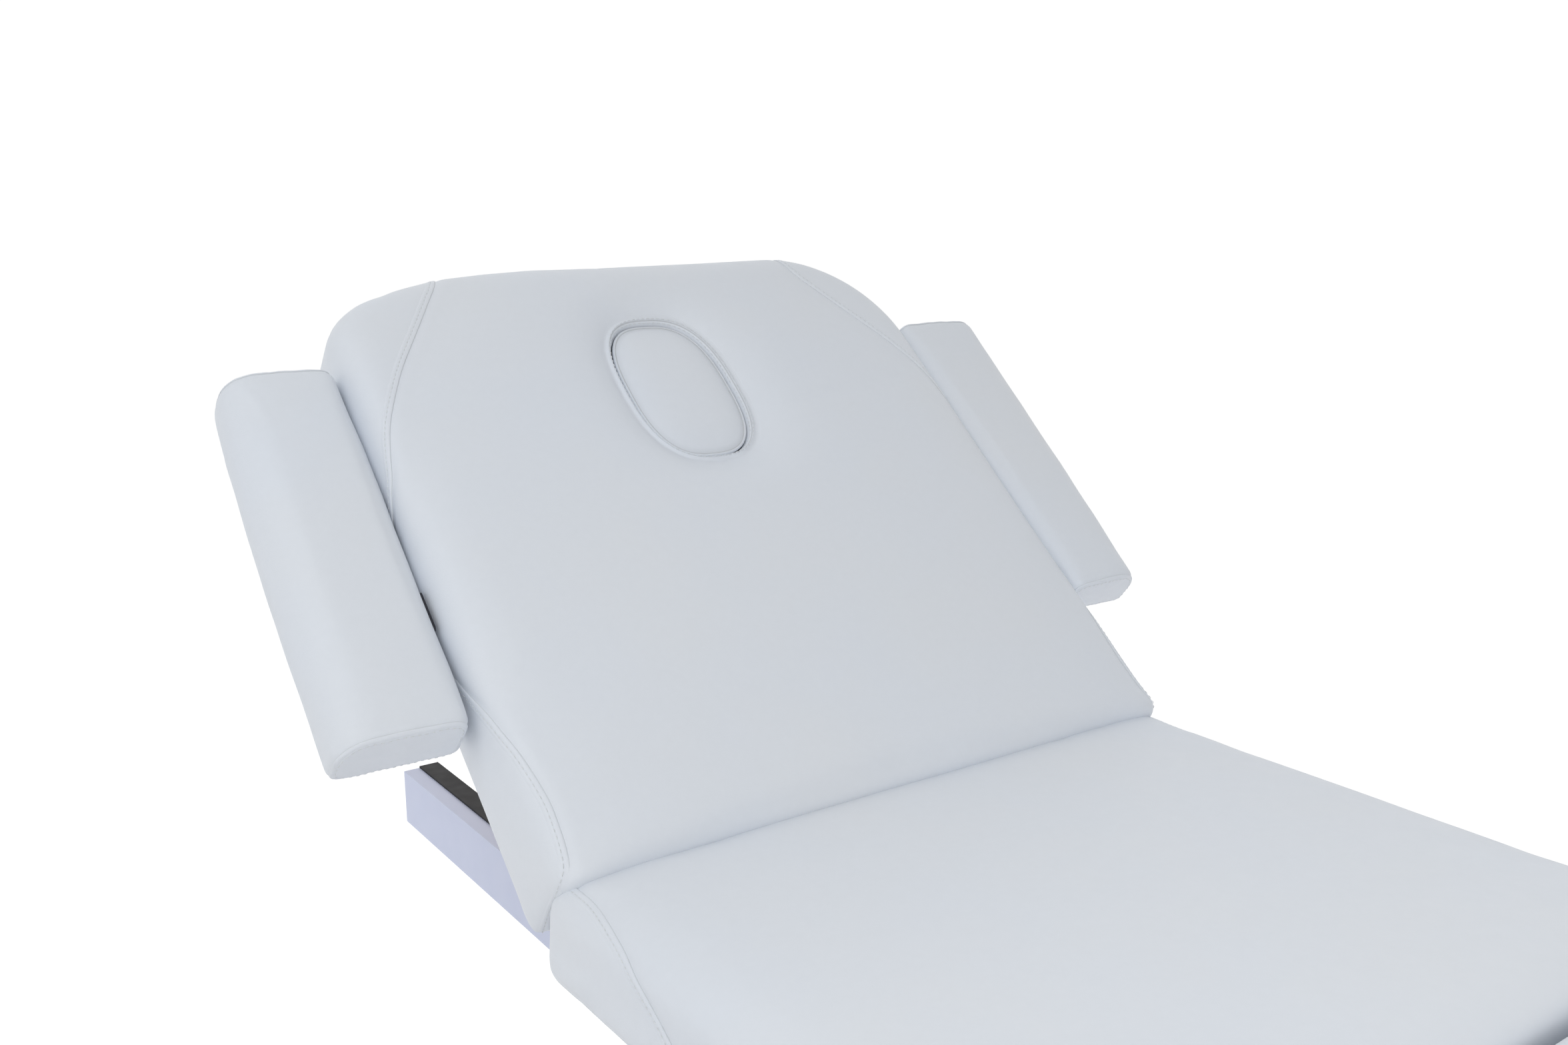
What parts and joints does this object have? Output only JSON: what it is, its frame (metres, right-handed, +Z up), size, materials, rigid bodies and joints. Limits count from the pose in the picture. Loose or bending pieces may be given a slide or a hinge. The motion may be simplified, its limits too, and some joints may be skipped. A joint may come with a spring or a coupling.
{
  "type": "facial treatment bed",
  "caption": "Padded facial treatment bed with tilting backrest, face hole and plug, swinging armrests, lowering leg rest and telescopic lifting column.",
  "frame": {"origin": "middle of the footprint box, on the floor", "axes": "+Z up, +Y towards the head end, +X to the left side of a client lying face up"},
  "size_m": [0.874, 1.678, 1.083],
  "materials": {
    "white_leatherette": "satin",
    "white_frame_paint": "satin powder coat",
    "black_rubber": "matte",
    "black_steel": "satin",
    "zinc_steel": "zinc plated",
    "chromed_rod": "polished",
    "plywood": "raw",
    "white_plastic": "satin",
    "white_caps": "matte",
    "black_plastic": "matte"
  },
  "bodies": {
    "base": {"base_tubes": "white_frame_paint", "base_end_caps": "white_caps", "foot_pads": "black_rubber", "foot_screws": "zinc_steel", "base_plate": "white_frame_paint", "column_outer": "white_frame_paint", "outer_glides": "black_plastic", "lift_actuator_tube": "black_plastic", "base_cover": "white_plastic", "power_inlet": "black_plastic", "cover_screws": "zinc_steel", "control_box": "black_plastic"},
    "column_stage": {"column_middle": "white_frame_paint", "middle_glides": "black_plastic"},
    "upper_frame": {"column_inner": "white_frame_paint", "lift_rod": "zinc_steel", "rail_left": "white_frame_paint", "rail_right": "white_frame_paint", "rail_end_caps": "white_caps", "rubber_strips": "black_rubber", "seat_risers": "white_frame_paint", "frame_cross_tubes": "white_frame_paint", "seat_board": "plywood", "seat_pad": "white_leatherette", "hinge_lugs": "white_frame_paint", "hinge_pins": "zinc_steel", "drive_pins": "zinc_steel", "seat_bolts": "zinc_steel"},
    "backrest": {"backrest_pad": "white_leatherette", "backrest_board": "plywood", "backrest_tubes": "white_frame_paint", "backrest_tube_caps": "white_caps", "backrest_hinge_brackets": "white_frame_paint", "backrest_levers": "white_frame_paint", "backrest_buffers": "black_rubber", "armrest_brackets": "black_steel", "armrest_pivot_pins": "zinc_steel", "backrest_bolts": "zinc_steel"},
    "face_plug": {"face_plug": "white_leatherette", "face_plug_board": "plywood"},
    "armrest_left": {"armrest_pad_left": "white_leatherette", "armrest_core_left": "plywood"},
    "armrest_right": {"armrest_pad_right": "white_leatherette", "armrest_core_right": "plywood"},
    "leg_rest": {"leg_pad": "white_leatherette", "leg_board": "plywood", "leg_tubes": "white_frame_paint", "leg_tube_caps": "white_caps", "leg_hinge_brackets": "white_frame_paint", "leg_levers": "white_frame_paint", "leg_bolts": "zinc_steel"},
    "back_drive": {"back_actuator": "black_plastic", "back_motor": "black_plastic"},
    "back_rod": {"back_rod": "chromed_rod", "back_rod_pin": "zinc_steel"},
    "leg_drive": {"leg_actuator": "black_plastic", "leg_motor": "black_plastic"},
    "leg_rod": {"leg_rod": "chromed_rod", "leg_rod_pin": "zinc_steel"}
  },
  "joints": [
    {"name": "lift", "type": "slide", "parent": "base", "child": "upper_frame", "axis": [0, 0, 1], "range_m": [0, 0.22]},
    {"name": "lift_stage", "type": "slide", "parent": "base", "child": "column_stage", "axis": [0, 0, 1], "range_m": [0, 0.11]},
    {"name": "backrest_tilt", "type": "hinge", "parent": "upper_frame", "child": "backrest", "pos_m": [0, 0.2251, 0.5425], "axis": [1, 0, 0], "range_deg": [-41, 19]},
    {"name": "back_drive_turn", "type": "hinge", "parent": "upper_frame", "child": "back_drive", "pos_m": [0.1, -0.107, 0.44], "axis": [1, 0, 0], "range_deg": [-0.276, 0.364]},
    {"name": "back_drive_stroke", "type": "slide", "parent": "back_drive", "child": "back_rod", "axis": [0, 0.9999, 0.0123], "range_m": [-0.06998, 0.0335]},
    {"name": "leg_rest_tilt", "type": "hinge", "parent": "upper_frame", "child": "leg_rest", "pos_m": [0, -0.2745, 0.5425], "axis": [1, 0, 0], "range_deg": [0, 65]},
    {"name": "leg_drive_turn", "type": "hinge", "parent": "upper_frame", "child": "leg_drive", "pos_m": [-0.1, 0.093, 0.44], "axis": [1, 0, 0], "range_deg": [-0.2, 0.72]},
    {"name": "leg_drive_stroke", "type": "slide", "parent": "leg_drive", "child": "leg_rod", "axis": [0, -0.998, 0.0638], "range_m": [-0.09956, 0.002]},
    {"name": "armrest_left_turn", "type": "hinge", "parent": "backrest", "child": "armrest_left", "pos_m": [0.365, 0.44399, 0.7997], "axis": [1, 0, 0], "range_deg": [-75, 30]},
    {"name": "armrest_right_turn", "type": "hinge", "parent": "backrest", "child": "armrest_right", "pos_m": [-0.365, 0.44399, 0.7997], "axis": [1, 0, 0], "range_deg": [-75, 30]},
    {"name": "face_plug_lift", "type": "slide", "parent": "backrest", "child": "face_plug", "axis": [0, -0.6561, 0.7547], "range_m": [0, 0.15]}
  ],
  "couplings": [
    {"joint": "lift_stage", "follows": "lift", "ratio": 0.5},
    {"joint": "back_drive_turn", "follows": "backrest_tilt", "ratio": -0.004},
    {"joint": "back_drive_stroke", "follows": "backrest_tilt", "m_per_rad": 0.095},
    {"joint": "leg_drive_turn", "follows": "leg_rest_tilt", "ratio": 0.008},
    {"joint": "leg_drive_stroke", "follows": "leg_rest_tilt", "m_per_rad": -0.086}
  ]
}
